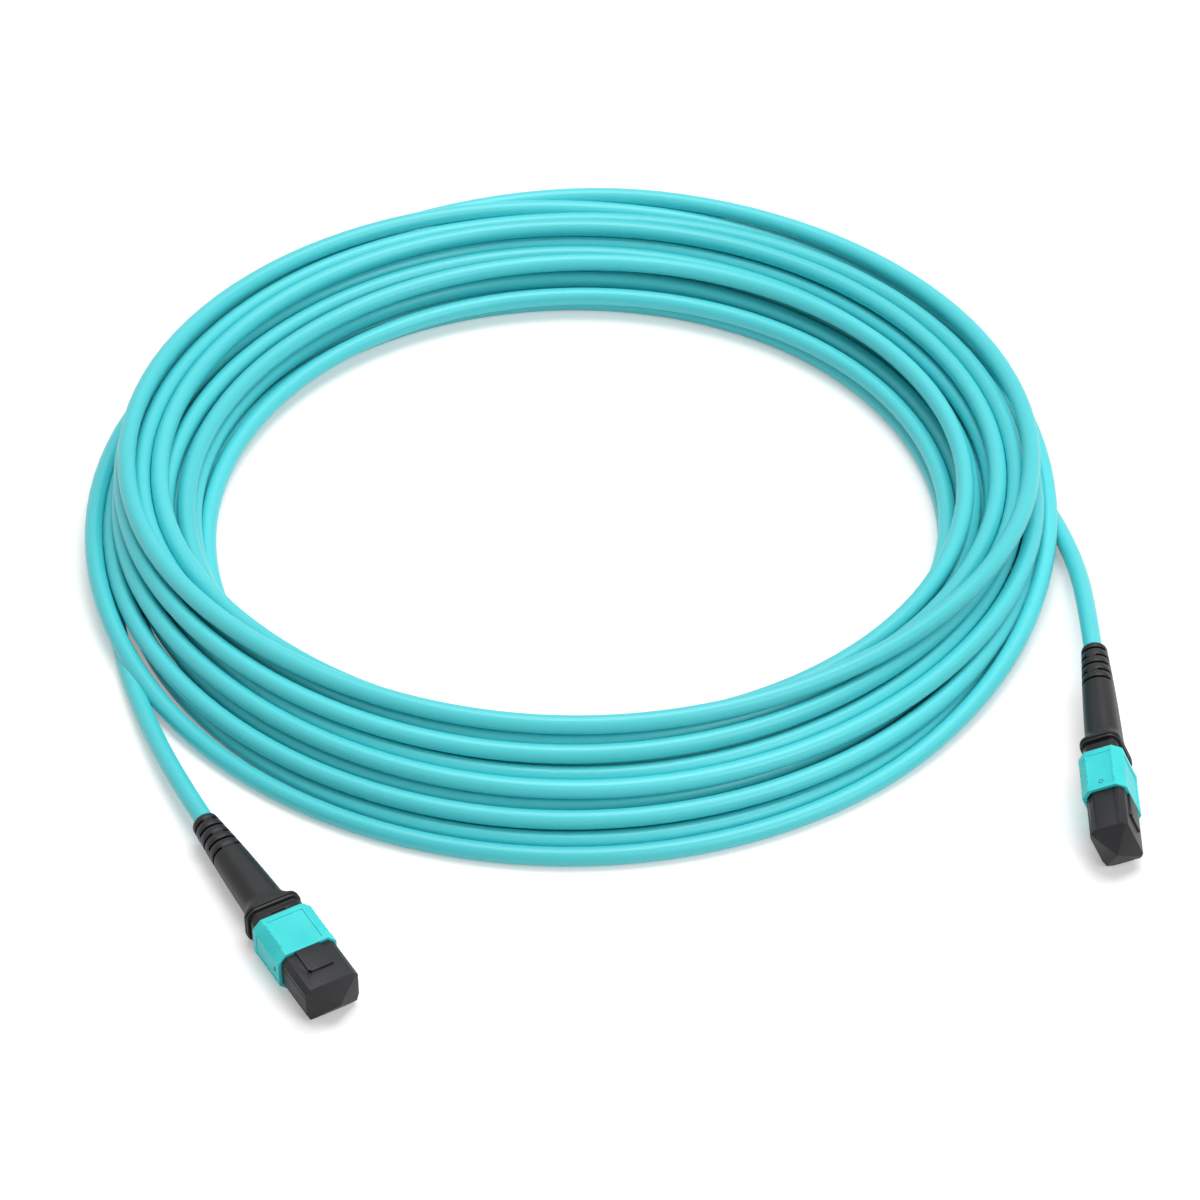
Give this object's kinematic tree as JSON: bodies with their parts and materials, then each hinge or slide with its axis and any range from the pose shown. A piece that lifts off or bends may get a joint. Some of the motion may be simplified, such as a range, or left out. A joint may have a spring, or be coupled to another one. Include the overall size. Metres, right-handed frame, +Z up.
{
  "type": "mpo fibre patch cord",
  "caption": "Aqua multi-fibre patch cord lying in a loose round coil, with a capped push-pull connector and black strain boot on each end.",
  "frame": {"origin": "centre of the coil's eye, on the plane that the coil lies on", "axes": "+Z up out of the coil; +X along the line that the two connectors are spread out on, towards connector b; -Y the side where the connectors lie"},
  "size_m": [0.2106, 0.2404, 0.0175],
  "materials": {
    "cable": "smooth aqua cord jacket",
    "aqua_plastic": "moulded aqua plastic",
    "cap_plastic": "moulded charcoal plastic",
    "boot_rubber": "soft satin black",
    "housing_plastic": "moulded black plastic",
    "ferrule_plastic": "glass-filled, ground end face",
    "ribbon": "clear coated fibres",
    "spring_steel": "bright spring wire",
    "crimp_metal": "plain tube"
  },
  "bodies": {
    "cord": {"cable_coil": "cable", "cable_lead_a": "cable", "plug_housing_a": "housing_plastic", "rear_post_a": "housing_plastic", "crimp_ring_a": "crimp_metal", "strain_boot_a": "boot_rubber", "coupling_spring_left_a": "spring_steel", "coupling_spring_right_a": "spring_steel", "cable_lead_b": "cable", "plug_housing_b": "housing_plastic", "rear_post_b": "housing_plastic", "crimp_ring_b": "crimp_metal", "strain_boot_b": "boot_rubber", "coupling_spring_left_b": "spring_steel", "coupling_spring_right_b": "spring_steel"},
    "sleeve_a": {"coupling_sleeve_a": "aqua_plastic"},
    "ferrule_a": {"mt_ferrule_a": "ferrule_plastic", "ferrule_boot_a": "boot_rubber", "ferrule_spacer_a": "housing_plastic", "fibre_ribbon_a": "ribbon", "ferrule_spring_a": "spring_steel"},
    "cap_a": {"dust_cap_a": "cap_plastic"},
    "sleeve_b": {"coupling_sleeve_b": "aqua_plastic"},
    "ferrule_b": {"mt_ferrule_b": "ferrule_plastic", "ferrule_boot_b": "boot_rubber", "ferrule_spacer_b": "housing_plastic", "fibre_ribbon_b": "ribbon", "ferrule_spring_b": "spring_steel"},
    "cap_b": {"dust_cap_b": "cap_plastic"}
  },
  "joints": [
    {"name": "sleeve_slide_a", "type": "slide", "parent": "cord", "child": "sleeve_a", "axis": [-0.5105, 0.8599, 0], "range_m": [0, 0.0019], "stiffness_N_per_m": 550, "springref_m": -0.0005, "deforming": ["coupling_spring_left_a", "coupling_spring_right_a"]},
    {"name": "ferrule_slide_a", "type": "slide", "parent": "cord", "child": "ferrule_a", "axis": [-0.5105, 0.8599, 0], "range_m": [0, 0.0006], "stiffness_N_per_m": 1000, "springref_m": -0.0005, "deforming": ["ferrule_spring_a", "fibre_ribbon_a"]},
    {"name": "cap_slide_a", "type": "slide", "parent": "cord", "child": "cap_a", "axis": [0.5105, -0.8599, 0], "range_m": [0, 0.025]},
    {"name": "sleeve_slide_b", "type": "slide", "parent": "cord", "child": "sleeve_b", "axis": [0.0122, 0.999, 0.0436], "range_m": [0, 0.0019], "stiffness_N_per_m": 550, "springref_m": -0.0005, "deforming": ["coupling_spring_left_b", "coupling_spring_right_b"]},
    {"name": "ferrule_slide_b", "type": "slide", "parent": "cord", "child": "ferrule_b", "axis": [0.0122, 0.999, 0.0436], "range_m": [0, 0.0006], "stiffness_N_per_m": 1000, "springref_m": -0.0005, "deforming": ["ferrule_spring_b", "fibre_ribbon_b"]},
    {"name": "cap_slide_b", "type": "slide", "parent": "cord", "child": "cap_b", "axis": [-0.0122, -0.999, -0.0436], "range_m": [0, 0.025]}
  ]
}
